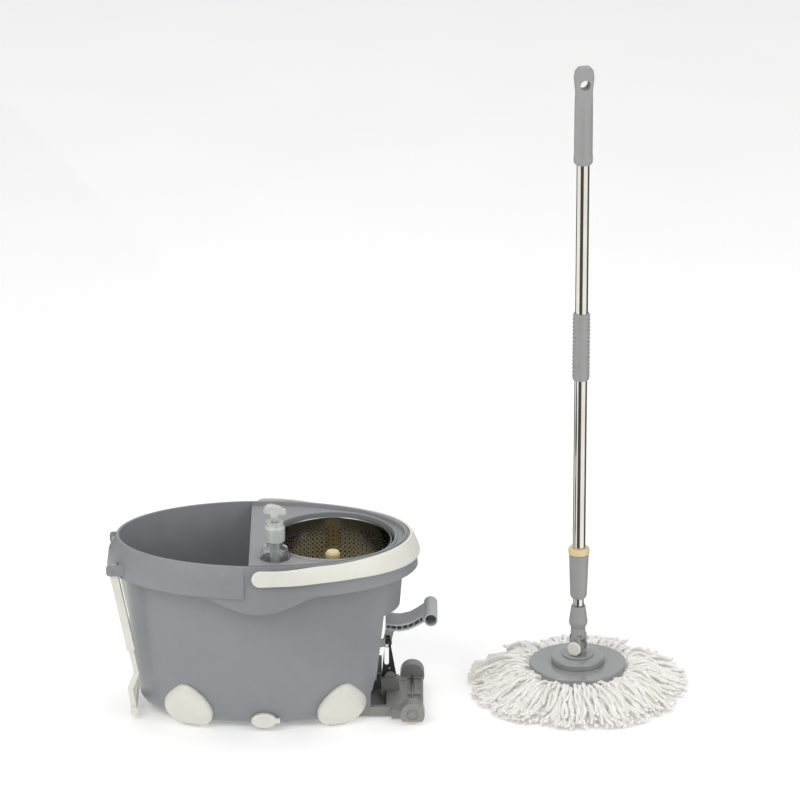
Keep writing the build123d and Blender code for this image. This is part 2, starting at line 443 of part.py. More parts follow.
# hub: tongue on a short spigot
tongue = cyld(9.0, -6.4, 6.4, MX, MY, HINGE_Z, HD)
pl0 = Plane(origin=(MX, MY, 58.5), x_dir=(HD[0], HD[1], 0), z_dir=(0, 0, 1))
tongue = tongue + pl0 * Box(12.8, 18.0, HINGE_Z - 58.5, align=CMM)
hubm = rev([(0, 28.0), (12.0, 28.0), (12.0, 58.2), (24.4, 58.2), (24.4, 59.4), (22.8, 60.2), (0, 60.2)], MX, MY)
hubm = hubm + tongue - cyld(3.06, -20, 20, MX, MY, HINGE_Z, HD)
hubm = hubm - rev([(11.0, 29.4), (14, 29.4), (14, 30.8), (11.0, 30.8)], MX, MY)
P["swivel_hub"] = hubm
P["hub_clip"] = rev([(11.05, 29.45), (15.5, 29.45), (15.5, 30.75), (11.05, 30.75)], MX, MY) - (pl0 * Pos(14, 0, -30) * Box(12, 9, 10))
# turning plate
P["mop_plate"] = rev([(12.06, 32.0), (28.0, 32.0), (28.0, 42.6), (74.0, 42.6), (74.0, 31.0), (FLANGE_R, 31.0), (FLANGE_R, 33.4), (PLATE_R + 1.0, 35.0), (PLATE_R, 44.5), (PLATE_R - 1.5, 46.0), (12.06, 46.0)], MX, MY)
P["plate_cover"] = rev([(12.06, 46.05), (42.0, 46.05), (42.0, 54.5), (39.5, 56.0), (31.0, 57.8), (12.06, 57.8)], MX, MY)
P["refill_ring"] = rev([(29.0, 27.0), (73.5, 27.0), (73.5, 42.3), (70.5, 42.3), (70.5, 30.0), (32.0, 30.0), (32.0, 42.3), (29.0, 42.3)], MX, MY)
yarn = rev([(20.0, 4.0), (30.0, 0.0), (150.0, 0.0), (170.0, 5.0), (YARN_R, 15.0), (176.0, 27.0), (164.0, 35.0), (140.0, 39.0), (115.0, 38.0), (97.0, 34.0), (86.0, 28.5), (80.0, 26.6), (20.0, 26.6)], MX, MY)
P["mop_yarn"] = yarn

# socket with its two cheeks
soc = rev([(8.55, 142.0), (10.6, 142.0), (11.4, 140.0), (14.6, 115.5), (14.6, 112.5), (10.9, 104.0), (11.6, 102.0), (11.8, 88.0), (8.0, 84.5), (0, 84.5), (0, 100.0), (8.55, 100.0)], MX, MY)
pl1 = Plane(origin=(MX, MY, HINGE_Z), x_dir=(HD[0], HD[1], 0), z_dir=(0, 0, 1))
for s in (-1, 1):
    ck = cyld(11.0, *sorted((s * 6.8, s * 11.2)), MX, MY, HINGE_Z, HD) + pl1 * Pos(s * 9.0, 0, 0) * Box(4.4, 18.5, 22.0, align=CMM)
    soc = soc + ck
soc = soc + (pl1 * Pos(0, 0, 12.5) * Box(22.4, 18.5, 8.0, align=CMM))
soc = soc - cyld(3.0, -20, 20, MX, MY, HINGE_Z, HD)
P["pole_socket"] = soc
P["hinge_pin"] = cyld(3.0, -14.0, 14.0, MX, MY, HINGE_Z, HD)
caps = []
for s in (-1, 1):
    c = cyld(11.3, *sorted((s * 11.5, s * 16.0)), MX, MY, HINGE_Z, HD)
    c = fillet(c.edges().group_by(Axis((MX, MY, HINGE_Z), (HD[0] * s, HD[1] * s, 0)))[-1], 2.0)
    c = c - cyld(3.0, -14.2, 14.2, MX, MY, HINGE_Z, HD)
    caps.append(one(c))
P["hinge_caps"] = Compound(caps)
P["inner_tube"] = tube(INNER_R, INNER_R - 0.8, 101.0, 470.0, MX, MY)
P["lower_tube"] = tube(POLE_R, POLE_R - TUBE_T, 182.0, 545.0, MX, MY)
P["upper_tube"] = tube(POLE_R, POLE_R - TUBE_T, 545.5, 962.0, MX, MY)
P["tube_joiner"] = tube(POLE_R - TUBE_T - 0.05, 7.2, 505.0, 590.0, MX, MY)
P["lock_ring"] = rev([(POLE_R + 0.05, 229.5), (15.9, 229.5), (16.6, 231.0), (16.6, 237.5), (15.4, 240.0), (POLE_R + 0.05, 240.0)], MX, MY)
ls = rev([(8.62, 155.0), (10.5, 155.0), (12.4, 157.5), (13.2, 162.0), (14.4, 195.0), (15.2, 222.0), (15.8, 229.0), (POLE_R + 0.07, 229.0), (POLE_R + 0.07, 181.0), (8.62, 181.0)], MX, MY)
for i in range(18):
    an = 20.0 * i
    fl = cyl(1.5, 166.0, 221.0, 16.2, 0.0)
    ls = ls - (Pos(MX, MY, 0) * Rot(0, 0, an) * fl)
P["lock_sleeve"] = ls
mg = rev([(POLE_R + 0.05, 521.0), (12.2, 521.0), (13.4, 523.0), (14.0, 530.0), (13.6, 575.0), (14.0, 620.0), (13.4, 628.0), (12.0, 630.0), (POLE_R + 0.05, 630.0)], MX, MY)
for i in range(24):
    z = 531.0 + 3.9 * i
    ring = tube(16.0, 13.0, z, z + 1.6, MX, MY)
    ring = ring - (Pos(MX, MY - 15.5, z + 0.8) * Box(17.0, 10.0, 4.0)) - (Pos(MX, MY + 15.5, z + 0.8) * Box(17.0, 10.0, 4.0))
    mg = mg - ring
P["mid_grip"] = mg
tg = rev([(POLE_R + 0.05, GRIP_BOT), (12.4, GRIP_BOT), (14.6, GRIP_BOT + 3), (14.9, GRIP_BOT + 12), (14.3, GRIP_BOT + 16), (14.3, 938.0), (14.0, 976.0), (13.5, 988.0), (14.8, 1000.0), (15.9, 1012.0),
          (14.6, 1022.0), (9.5, POLE_TOP), (0, POLE_TOP), (0, 962.5), (POLE_R + 0.05, 962.5)], MX, MY)
GH = (math.sin(math.radians(14)), -math.cos(math.radians(14)))
# the head of the grip is flattened round its hanging hole
flat = Plane(origin=(MX, MY, 0), x_dir=(GH[0], GH[1], 0), z_dir=(GH[1], -GH[0], 0)) * make_face(Polyline([(-18, 860), (18, 860), (18, 950), (9.0, 984), (9.0, 1014), (6.5, 1029), (-6.5, 1029), (-9.0, 1014), (-9.0, 984), (-18, 950), (-18, 860)]))
tg = tg & extrude(flat, amount=40, both=True)
tg = tg - cyld(8.0, -30, 30, MX, MY, 1001.0, GH)
P["top_grip"] = tg

# ---------------------------------------------------------------- move everything to the row frame and write
lo = [1e9] * 3
hi = [-1e9] * 3
for nm in ("soap_bottle", "pump_collar", "pump_body", "dip_tube", "pump_spring", "pump_stem", "pump_head"):
    P[nm] = Pos(0, 0, DISP_UP) * P[nm]
for nm, s in P.items():
    bb = s.bounding_box()
    for i, (a, b) in enumerate(zip(bb.min, bb.max)):
        lo[i] = min(lo[i], a)
        hi[i] = max(hi[i], b)
SHIFT_X, SHIFT_Y = -(lo[0] + hi[0]) / 2, -(lo[1] + hi[1]) / 2
print("shift", round(SHIFT_X, 4), round(SHIFT_Y, 4), "z", round(lo[2], 4), round(hi[2], 4))
for nm, s in P.items():
    so = [q for q in s.solids() if q.volume > 1e-3]
    sh = Compound([Pos(SHIFT_X, SHIFT_Y, 0) * q for q in so]) if len(so) > 1 else Pos(SHIFT_X, SHIFT_Y, 0) * so[0]
    sh.label = nm
    export_step(sh, "parts/" + nm + ".step")
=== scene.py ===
import bpy
import bmesh
import json
import math
import numpy as np
from mathutils import Vector, Matrix


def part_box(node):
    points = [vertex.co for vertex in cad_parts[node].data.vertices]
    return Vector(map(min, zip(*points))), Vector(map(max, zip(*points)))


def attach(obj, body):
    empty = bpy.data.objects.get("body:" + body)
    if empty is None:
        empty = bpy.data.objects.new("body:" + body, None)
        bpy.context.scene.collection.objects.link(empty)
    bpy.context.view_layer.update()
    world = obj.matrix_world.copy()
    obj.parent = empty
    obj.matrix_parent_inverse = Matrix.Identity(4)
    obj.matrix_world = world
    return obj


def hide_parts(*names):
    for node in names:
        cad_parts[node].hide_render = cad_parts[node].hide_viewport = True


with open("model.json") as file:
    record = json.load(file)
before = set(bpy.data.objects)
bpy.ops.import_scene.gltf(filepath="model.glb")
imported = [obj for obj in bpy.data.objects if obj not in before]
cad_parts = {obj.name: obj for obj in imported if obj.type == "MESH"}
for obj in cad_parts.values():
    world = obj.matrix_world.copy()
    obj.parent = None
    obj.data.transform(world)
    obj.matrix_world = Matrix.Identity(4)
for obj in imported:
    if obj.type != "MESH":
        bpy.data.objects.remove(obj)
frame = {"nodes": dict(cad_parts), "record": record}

NODES = frame["nodes"]
BODY_OF = {n: b for b, ns in frame["record"]["behaviour"]["bodies"].items() for n in ns}
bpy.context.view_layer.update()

# ------------------------------------------------------------------ places, all read from the frame
def centre(n):
    lo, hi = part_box(n)
    return (lo + hi) / 2

B_C = centre("spin_basket")          # basket axis
B_LO, B_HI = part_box("spin_basket")
M_C = centre("mop_plate")            # mop axis
P_LO, P_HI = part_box("mop_plate")
Y_LO, Y_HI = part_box("mop_yarn")
rng = np.random.default_rng(11)

# ------------------------------------------------------------------ materials
def srgb(c):
    return tuple(((v / 255) / 12.92 if v / 255 <= 0.04045 else ((v / 255 + 0.055) / 1.055) ** 2.4) for v in c) + (1.0,)


class Mat:
    def __init__(self, name):
        self.m = bpy.data.materials.new(name)
        self.m.use_nodes = True
        self.t = self.m.node_tree
        self.t.nodes.clear()
        self.out = self.t.nodes.new("ShaderNodeOutputMaterial")
        self.p = self.t.nodes.new("ShaderNodeBsdfPrincipled")
        self.t.links.new(self.p.outputs[0], self.out.inputs[0])
        self.co = self.t.nodes.new("ShaderNodeTexCoord")

    def node(self, kind, **kw):
        n = self.t.nodes.new(kind)
        for k, v in kw.items():
            setattr(n, k, v)
        return n

    def link(self, a, b):
        self.t.links.new(a, b)

    def noise(self, scale, detail=3.0, rough=0.5, vec=None):
        n = self.node("ShaderNodeTexNoise")
        n.inputs["Scale"].default_value = scale
        n.inputs["Detail"].default_value = detail
        n.inputs["Roughness"].default_value = rough
        self.link(vec if vec is not None else self.co.outputs["Object"], n.inputs["Vector"])
        return n

    def stretch(self, sx, sy, sz):
        n = self.node("ShaderNodeMapping")
        n.inputs["Scale"].default_value = (sx, sy, sz)
        self.link(self.co.outputs["Object"], n.inputs["Vector"])
        return n.outputs[0]

    def ramp(self, fac, stops):
        n = self.node("ShaderNodeValToRGB")
        while len(n.color_ramp.elements) < len(stops):
            n.color_ramp.elements.new(0.5)
        for e, (pos, col) in zip(n.color_ramp.elements, stops):
            e.position = pos
            e.color = col
        self.link(fac, n.inputs[0])
        return n

    def rough(self, fac, lo, hi):
        n = self.node("ShaderNodeMapRange")
        n.inputs["To Min"].default_value = lo
        n.inputs["To Max"].default_value = hi
        self.link(fac, n.inputs["Value"])
        self.link(n.outputs[0], self.p.inputs["Roughness"])

    def bump(self, fac, strength, dist, base=None):
        n = self.node("ShaderNodeBump")
        n.inputs["Strength"].default_value = strength
        n.inputs["Distance"].default_value = dist
        self.link(fac, n.inputs["Height"])
        if base is not None:
            self.link(base, n.inputs["Normal"])
        self.link(n.outputs[0], self.p.inputs["Normal"])
        return n.outputs[0]


def plastic(name, col, lo=0.30, hi=0.42, var=0.04, grain=900.0, gstr=0.10, coat=0.0, sss=0.0, wear=0.05):
    """moulded plastic: faint flow mottling, fine spark texture, lighter worn edges"""
    m = Mat(name)
    c = np.array(srgb(col)[:3])
    n1 = m.noise(6.0, 4.0, 0.55)
    n2 = m.noise(55.0, 3.0, 0.5)
    r1 = m.ramp(n1.outputs["Fac"], [(0.3, tuple(c * (1 - var)) + (1,)), (0.7, tuple(np.minimum(c * (1 + var), 1)) + (1,))])
    r2 = m.ramp(n2.outputs["Fac"], [(0.35, (0.965, 0.965, 0.965, 1)), (0.65, (1.0, 1.0, 1.0, 1))])
    mix = m.node("ShaderNodeMix", data_type="RGBA", blend_type="MULTIPLY")
    mix.inputs["Factor"].default_value = 0.8
    m.link(r1.outputs[0], mix.inputs["A"])
    m.link(r2.outputs[0], mix.inputs["B"])
    geo = m.node("ShaderNodeNewGeometry")
    edge = m.ramp(geo.outputs["Pointiness"], [(0.50, (0, 0, 0, 1)), (0.58, (1, 1, 1, 1))])
    light = m.node("ShaderNodeMix", data_type="RGBA")
    scale = m.node("ShaderNodeMath", operation="MULTIPLY")
    scale.inputs[1].default_value = wear
    m.link(edge.outputs[0], scale.inputs[0])
    m.link(scale.outputs[0], light.inputs["Factor"])
    m.link(mix.outputs["Result"], light.inputs["A"])
    light.inputs["B"].default_value = tuple(np.minimum(c * 1.25 + 0.04, 1)) + (1,)
    m.link(light.outputs["Result"], m.p.inputs["Base Color"])
    m.rough(n2.outputs["Fac"], lo, hi)
    g = m.noise(grain, 2.0, 0.6)
    m.bump(g.outputs["Fac"], gstr, 0.0004)
    m.p.inputs["Coat Weight"].default_value = coat
    m.p.inputs["Coat Roughness"].default_value = 0.15
    m.p.inputs["IOR"].default_value = 1.5
    if sss:
        m.p.inputs["Subsurface Weight"].default_value = sss
        m.p.inputs["Subsurface Radius"].default_value = (0.004, 0.004, 0.003)
        m.p.inputs["Subsurface Scale"].default_value = 1.0
    return m.m


def metal(name, col, lo, hi, stretch=(1, 1, 1), scale=400.0, bstr=0.05, aniso=0.0, var=0.06):
    """metal with drawn or polished lines"""
    m = Mat(name)
    c = np.array(srgb(col)[:3])
    vec = m.stretch(*stretch)
    n1 = m.noise(scale, 3.0, 0.6, vec)
    n2 = m.noise(14.0, 3.0, 0.5)
    r = m.ramp(n2.outputs["Fac"], [(0.3, tuple(c * (1 - var)) + (1,)), (0.7, tuple(np.minimum(c * (1 + var), 1)) + (1,))])
    m.link(r.outputs[0], m.p.inputs["Base Color"])
    m.p.inputs["Metallic"].default_value = 1.0
    m.rough(n1.outputs["Fac"], lo, hi)
    m.bump(n1.outputs["Fac"], bstr, 0.0003)
    m.p.inputs["Anisotropic"].default_value = aniso
    return m.m


MAT = {}
MAT["bucket_grey"] = plastic("bucket_grey", (132, 133, 137), 0.34, 0.46, 0.03, grain=1400.0, gstr=0.06)
MAT["insert_grey"] = plastic("insert_grey", (136, 137, 139), 0.32, 0.44, 0.03, grain=1400.0, gstr=0.06)
MAT["cream_plastic"] = plastic("cream_plastic", (214, 214, 204), 0.28, 0.38, 0.015, grain=1100.0, gstr=0.05, sss=0.05)
MAT["knob_cream"] = plastic("knob_cream", (214, 196, 152), 0.30, 0.42, 0.03, grain=900.0, gstr=0.06, sss=0.08)
MAT["grip_grey"] = plastic("grip_grey", (146, 147, 146), 0.36, 0.50, 0.03, grain=1200.0, gstr=0.10)
MAT["plate_grey"] = plastic("plate_grey", (138, 140, 139), 0.10, 0.20, 0.02, grain=600.0, gstr=0.02, coat=0.5)
MAT["pedal_grey"] = plastic("pedal_grey", (172, 174, 175), 0.34, 0.46, 0.02, grain=1200.0, gstr=0.06)
MAT["base_grey"] = plastic("base_grey", (132, 132, 129), 0.40, 0.52, 0.03, grain=1200.0, gstr=0.08)
MAT["black_plate"] = plastic("black_plate", (28, 28, 29), 0.35, 0.5, 0.05, grain=900.0, gstr=0.1, wear=0.08)
MAT["gear_white"] = plastic("gear_white", (226, 224, 216), 0.30, 0.42, 0.02, gstr=0.03, sss=0.05)
MAT["wheel_cream"] = plastic("wheel_cream", (214, 202, 182), 0.38, 0.5, 0.03, gstr=0.08)
MAT["milky_clear"] = plastic("milky_clear", (226, 228, 222), 0.14, 0.24, 0.01, grain=800.0, gstr=0.02, sss=0.2)
for nd in MAT["milky_clear"].node_tree.nodes:
    if nd.type == "BSDF_PRINCIPLED":
        nd.inputs["Transmission Weight"].default_value = 0.45
MAT["seal_rubber"] = plastic("seal_rubber", (34, 34, 35), 0.55, 0.7, 0.05, gstr=0.1)
MAT["milky_plastic"] = plastic("milky_plastic", (232, 236, 234), 0.16, 0.28, 0.01, grain=800.0, gstr=0.02, sss=0.25)
MAT["steel"] = metal("steel", (146, 146, 145), 0.13, 0.22, (1, 1, 14), 260.0, 0.03)
MAT["pole_steel"] = metal("pole_steel", (205, 203, 196), 0.04, 0.09, (30, 30, 1), 160.0, 0.015)
MAT["dark_steel"] = metal("dark_steel", (150, 150, 150), 0.22, 0.36, (1, 1, 1), 500.0, 0.06)


def clear_plastic():
    m = Mat("clear_plastic")
    n = m.noise(30.0, 2.0)
    r = m.ramp(n.outputs["Fac"], [(0.3, (0.93, 0.96, 0.96, 1)), (0.7, (0.98, 1.0, 1.0, 1))])
    m.link(r.outputs[0], m.p.inputs["Base Color"])
    m.rough(n.outputs["Fac"], 0.03, 0.08)
    m.p.inputs["Transmission Weight"].default_value = 0.95
    m.p.inputs["IOR"].default_value = 1.38
    b = m.noise(90.0, 2.0)
    m.bump(b.outputs["Fac"], 0.06, 0.0008)
    return m.m


MAT["clear_plastic"] = clear_plastic()


def yarn_mat():
    m = Mat("yarn")
    n1 = m.noise(38.0, 3.0, 0.6)
    n2 = m.noise(1300.0, 4.0, 0.7)
    n3 = m.noise(2600.0, 2.0, 0.6)
    a = m.ramp(n1.outputs["Fac"], [(0.3, srgb((243, 240, 231))), (0.7, srgb((254, 252, 247)))])
    b = m.ramp(n2.outputs["Fac"], [(0.3, (0.90, 0.89, 0.87, 1)), (0.6, (1, 1, 1, 1))])
    mix = m.node("ShaderNodeMix", data_type="RGBA", blend_type="MULTIPLY")
    mix.inputs["Factor"].default_value = 0.75
    m.link(a.outputs[0], mix.inputs["A"])
    m.link(b.outputs[0], mix.inputs["B"])
    m.link(mix.outputs["Result"], m.p.inputs["Base Color"])
    m.rough(n2.outputs["Fac"], 0.85, 1.0)
    x = m.bump(n2.outputs["Fac"], 0.7, 0.0015)
    m.bump(n3.outputs["Fac"], 0.5, 0.0006, base=x)
    m.p.inputs["Sheen Weight"].default_value = 0.9
    m.p.inputs["Sheen Roughness"].default_value = 0.6
    # painted light: a faint warm glow makes the yarn shine a little and lifts its shadows, though the yarn is no lamp
    m.p.inputs["Emission Color"].default_value = (1.0, 0.985, 0.955, 1)
    m.p.inputs["Emission Strength"].default_value = 0.14
    m.p.inputs["Subsurface Weight"].default_value = 0.35
    m.p.inputs["Subsurface Radius"].default_value = (0.004, 0.004, 0.0035)
    return m.m


MAT["yarn"] = yarn_mat()

NODE_SLOT = {s["node"]: s["material_slot"] for s in frame["record"]["subparts"]}
NODE_MAT = dict(NODE_SLOT)
NODE_MAT["basket_hub"] = "knob_cream"
NODE_MAT["basket_floor"] = "knob_cream"
NODE_MAT["lock_ring"] = "knob_cream"
NODE_MAT["drive_base"] = "base_grey"
for n_ in ("pump_head", "pump_collar", "pump_stem", "dip_tube", "pump_body"):
    NODE_MAT[n_] = "milky_clear"
for name, o in NODES.items():
    o.data.materials.clear()
    o.data.materials.append(MAT[NODE_MAT[name]])


# ------------------------------------------------------------------ mesh helpers
def new_mesh(name, verts, faces, mat, smooth=True):
    me = bpy.data.meshes.new(name)
    me.from_pydata([tuple(map(float, v)) for v in verts], [], [tuple(int(i) for i in f) for f in faces])
    me.validate()
    me.update()
    me.materials.append(mat)
    if smooth:
        me.polygons.foreach_set("use_smooth", [True] * len(me.polygons))
    o = bpy.data.objects.new(name, me)
    bpy.context.scene.collection.objects.link(o)
    return o


def soften(node, width=0.0008, segs=2, angle=28.0, name=None, clean=1.0):
    """a copy of a CAD node with its hard edges rounded in geometry"""
    src = NODES[node]
    me = src.data.copy()
    o = bpy.data.objects.new((name or node) + "_finish", me)
    bpy.context.scene.collection.objects.link(o)
    bm = bmesh.new()
    bm.from_mesh(me)
    bmesh.ops.remove_doubles(bm, verts=bm.verts, dist=2e-6)
    bmesh.ops.dissolve_limit(bm, angle_limit=math.radians(clean), verts=bm.verts, edges=bm.edges)
    bm.to_mesh(me)
    bm.free()
    me.polygons.foreach_set("use_smooth", [True] * len(me.polygons))
    if width > 0:
        b = o.modifiers.new("edge", "BEVEL")
        b.width = width
        b.segments = segs
        b.limit_method = "ANGLE"
        b.angle_limit = math.radians(angle)
        b.harden_normals = False
        b.use_clamp_overlap = True
        b.miter_outer = "MITER_ARC"
    w = o.modifiers.new("normals", "WEIGHTED_NORMAL")
    w.keep_sharp = True
    dg = bpy.context.evaluated_depsgraph_get()
    final = bpy.data.meshes.new_from_object(o.evaluated_get(dg))
    o.modifiers.clear()
    o.data = final
    final.set_sharp_from_angle(angle=math.radians(40))
    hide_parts(node)
    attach(o, BODY_OF[node])
    return o


def lathe(name, prof, c, segs, mat, closed=True):
    """surface of revolution of (r, z) points about the vertical axis through c"""
    n = len(prof)
    vs, fs = [], []
    for i in range(segs):
        a = 2 * math.pi * i / segs
        for r, z in prof:
            vs.append((c[0] + r * math.cos(a), c[1] + r * math.sin(a), z))
    m = n if closed else n - 1
    for i in range(segs):
        j = (i + 1) % segs
        for k in range(m):
            k2 = (k + 1) % n
            fs.append((i * n + k, j * n + k, j * n + k2, i * n + k2))
    return new_mesh(name, vs, fs, mat)


# ------------------------------------------------------------------ perforated basket
def make_basket():
    cx, cy = B_C[0], B_C[1]
    z0, z1 = B_LO[2], B_HI[2]
    R = (B_HI[0] - B_LO[0]) / 2 - 0.0032
    t = 0.0009
    cols, pitch = 76, 0.0074
    rows = 9
    zb = z0 + 0.0095
    zt = zb + rows * pitch
    vs, fs = [], []
    index = {}

    def vert(a, z, r):
        key = (round(a, 6) % round(2 * math.pi, 6), round(z, 7), round(r, 7))
        if key not in index:
            index[key] = len(vs)
            vs.append((cx + r * math.cos(a), cy + r * math.sin(a), z))
        return index[key]

    da = 2 * math.pi / cols
    hr = 0.0019
    K = 12
    sq = []
    for k in range(K):
        th = 2 * math.pi * k / K + math.pi / 4 * 0
        x, y = math.cos(th), math.sin(th)
        s = max(abs(x), abs(y))
        sq.append((x / s, y / s))
    for j in range(rows):
        for i in range(cols):
            a0 = i * da
            zc = zb + (j + 0.5) * pitch
            ang = math.degrees(a0 + da / 2)
            plain = abs((ang - 90 + 180) % 360 - 180) < 4.0 or abs((ang - 270 + 180) % 360 - 180) < 4.0
            outer = []
            for sx, sy in sq:
                outer.append((a0 + da / 2 + sx * da / 2, zc + sy * pitch / 2))
            if plain:
                for r, flip in ((R, False), (R - t, True)):
                    ids = [vert(a, z, r) for a, z in outer]
                    fs.append(tuple(ids if not flip else ids[::-1]))
                continue
            hole = []
            for k in range(K):
                th = 2 * math.pi * k / K
                hole.append((a0 + da / 2 + hr * math.cos(th) / R, zc + hr * math.sin(th)))
            for r, flip in ((R, False), (R - t, True)):
                o_ = [vert(a, z, r) for a, z in outer]
                h_ = [vert(a, z, r) for a, z in hole]
                for k in range(K):
                    q = (o_[k], o_[(k + 1) % K], h_[(k + 1) % K], h_[k])
                    fs.append(q if not flip else q[::-1])
            ho = [vert(a, z, R) for a, z in hole]
            hi_ = [vert(a, z, R - t) for a, z in hole]
            for k in range(K):
                fs.append((ho[k], ho[(k + 1) % K], hi_[(k + 1) % K], hi_[k]))
    # plain bands below and above the holes, the curled rim and the floor
    ring_pts = sorted({round(a, 9) for i in range(cols) for a in (i * da, i * da + da / 2)})
    # squares carry points at their corners and edge middles
    extra = []
    for i in range(cols):
        a0 = i * da
        for sx, sy in sq:
            if abs(sy) > 0.999:
                extra.append((a0 + da / 2 + sx * da / 2) % (2 * math.pi))
    angs = sorted({round(a, 6) for a in extra})
    prof_top = [(R, zt), (R, z1 - 0.0068), (R + 0.0008, z1 - 0.0050), (R + 0.0022, z1 - 0.0040), (R + 0.0030, z1 - 0.0026), (R + 0.0030, z1 - 0.0012), (R + 0.0022, z1 - 0.0003), (R + 0.0010, z1),
                (R - 0.0002, z1 - 0.0004), (R - 0.0009, z1 - 0.0014), (R - t, z1 - 0.0030), (R - t, z1 - 0.0070), (R - t, zt)]
    prof_low = [(R - t, zb), (R - t, z0 + 0.0062), (R - 0.0022, z0 + 0.0030), (R - 0.0060, z0 + 0.0011), (0.020, z0 + 0.0010), (0.0072, z0 + 0.0010), (0.0072, z0), (0.020, z0), (R - 0.0062, z0),
                (R - 0.0018, z0 + 0.0016), (R, z0 + 0.0058), (R, zb)]
    for prof in (prof_top, prof_low):
        ids = []
        for a in angs:
            row = []
            for q, (r, z) in enumerate(prof):
                if q in (0, len(prof) - 1):
                    row.append(vert(a, z, r))
                else:
                    vs.append((cx + r * math.cos(a), cy + r * math.sin(a), z))
                    row.append(len(vs) - 1)
            ids.append(row)
        for i in range(len(ids)):
            A, B = ids[i], ids[(i + 1) % len(ids)]
            for q in range(len(prof) - 1):
                fs.append((A[q], B[q], B[q + 1], A[q + 1]))
    o = new_mesh("perforated_basket", vs, fs, MAT["steel"])
    bm = bmesh.new()
    bm.from_mesh(o.data)
    bmesh.ops.remove_doubles(bm, verts=bm.verts, dist=2e-6)
    bmesh.ops.recalc_face_normals(bm, faces=bm.faces)
    bm.to_mesh(o.data)
    bm.free()
    o.data.polygons.foreach_set("use_smooth", [True] * len(o.data.polygons))
    o.data.set_sharp_from_angle(angle=math.radians(50))
    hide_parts("spin_basket")
    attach(o, "basket")


make_basket()


# ------------------------------------------------------------------ chenille yarn head
def make_yarn():
    cx, cy = M_C[0], M_C[1]
    R_out = (Y_HI[0] - Y_LO[0]) / 2
    top = Y_HI[2]
    plate_r = (P_HI[0] - P_LO[0]) / 2
    vs, fs = [], []
    SEG, AR = 32, 7

    def strand(a0, r0, z_start, z_peak, r_end, z_end, wig, rad, curl):
        """one chenille strand from under the plate out to its looped or cut end"""
        base = len(vs)
        pts = []
        ph1, ph2, ph3 = rng.uniform(0, 6.28, 3)
        for k in range(SEG + 1):
            s = k / SEG
            r = r0 + (r_end - r0) * (s ** 0.95)
            hump = math.sin(math.pi * min(1.0, s * 1.25)) ** 0.8 if s < 0.8 else 0.0
            z = z_start * (1 - s) + z_end * s + z_peak * math.sin(math.pi * min(1.0, s * 1.12)) * (1 - 0.25 * s)
            a = a0 + curl * s * s + wig * (math.sin(5.2 * s + ph1) * 0.6 + math.sin(11.0 * s + ph2) * 0.28) * (0.25 + s)
            z += 0.0022 * math.sin(9.0 * s + ph3) * s
            pts.append(Vector((cx + r * math.cos(a), cy + r * math.sin(a), max(z, rad * 1.12))))
        up = Vector((0, 0, 1))
        for k, p in enumerate(pts):
            t = (pts[min(k + 1, SEG)] - pts[max(k - 1, 0)]).normalized()
            u = t.cross(up).normalized()
            w = u.cross(t).normalized()
            s = k / SEG
            end = 1.0 if s < 0.93 else math.sqrt(max(0.0, 1 - ((s - 0.93) / 0.07) ** 2)) * 0.97 + 0.03
            for q in range(AR):
                b = 2 * math.pi * q / AR + 0.5 * k
                fuzz = 1.0 + rng.uniform(-0.36, 0.42)
                rr = rad * end * fuzz
                v = p + u * (rr * math.cos(b)) + w * (rr * math.sin(b))
                v.z = max(v.z, 0.0003)
                vs.append(v)
        for k in range(SEG):
            for q in range(AR):
                q2 = (q + 1) % AR
                fs.append((base + k * AR + q, base + k * AR + q2, base + (k + 1) * AR + q2, base + (k + 1) * AR + q))
        fs.append(tuple(base + q for q in range(AR))[::-1])
        fs.append(tuple(base + SEG * AR + q for q in range(AR)))

    layers = [  # count, peak height, end radius range, end height range
        (210, 0.002, (0.88, 1.0), (0.003, 0.007)),
        (225, 0.008, (0.90, 1.0), (0.005, 0.012)),
        (230, 0.014, (0.84, 1.0), (0.008, 0.018)),
        (225, 0.019, (0.74, 0.97), (0.011, 0.022)),
        (180, 0.023, (0.60, 0.88), (0.015, 0.026)),
    ]
    for li, (cnt, peak, rr, ze) in enumerate(layers):
        for i in range(cnt):
            a0 = 2 * math.pi * (i + rng.uniform(-0.5, 0.5)) / cnt + li * 0.3
            clump = 1.0 + 0.055 * math.sin(a0 * 5 + 0.6) + 0.045 * math.sin(a0 * 11 + 1.3) + 0.02 * math.sin(a0 * 23)
            r_end = R_out * min(0.985, rng.uniform(*rr) * clump)
            strand(a0, plate_r * rng.uniform(0.70, 0.92), 0.009 + li * 0.0028, peak * rng.uniform(0.8, 1.15), r_end, rng.uniform(*ze), rng.uniform(0.015, 0.045), rng.uniform(0.0023, 0.0032), rng.uniform(-0.08, 0.08) + 0.05 * math.sin(a0 * 3))
    o = new_mesh("chenille_head", vs, fs, MAT["yarn"])
    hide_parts("mop_yarn")
    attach(o, "mop_plate")
    return o


make_yarn()

# ------------------------------------------------------------------ rounded versions of the hard CAD pieces
SHIFT = (-0.21375, -0.0413)


def T(x, y, z):
    """bucket millimetres to the shared frame"""
    return (x / 1000 + SHIFT[0], y / 1000 + SHIFT[1], z / 1000)


def lev(levels, z):
    """half-axes of a stacked oval at height z"""
    if z <= levels[0][0]:
        return levels[0][1], levels[0][2]
    for (z0, a0, b0), (z1, a1, b1) in zip(levels, levels[1:]):
        if z <= z1:
            t = (z - z0) / (z1 - z0)
            return a0 + (a1 - a0) * t, b0 + (b1 - b0) * t
    return levels[-1][1], levels[-1][2]


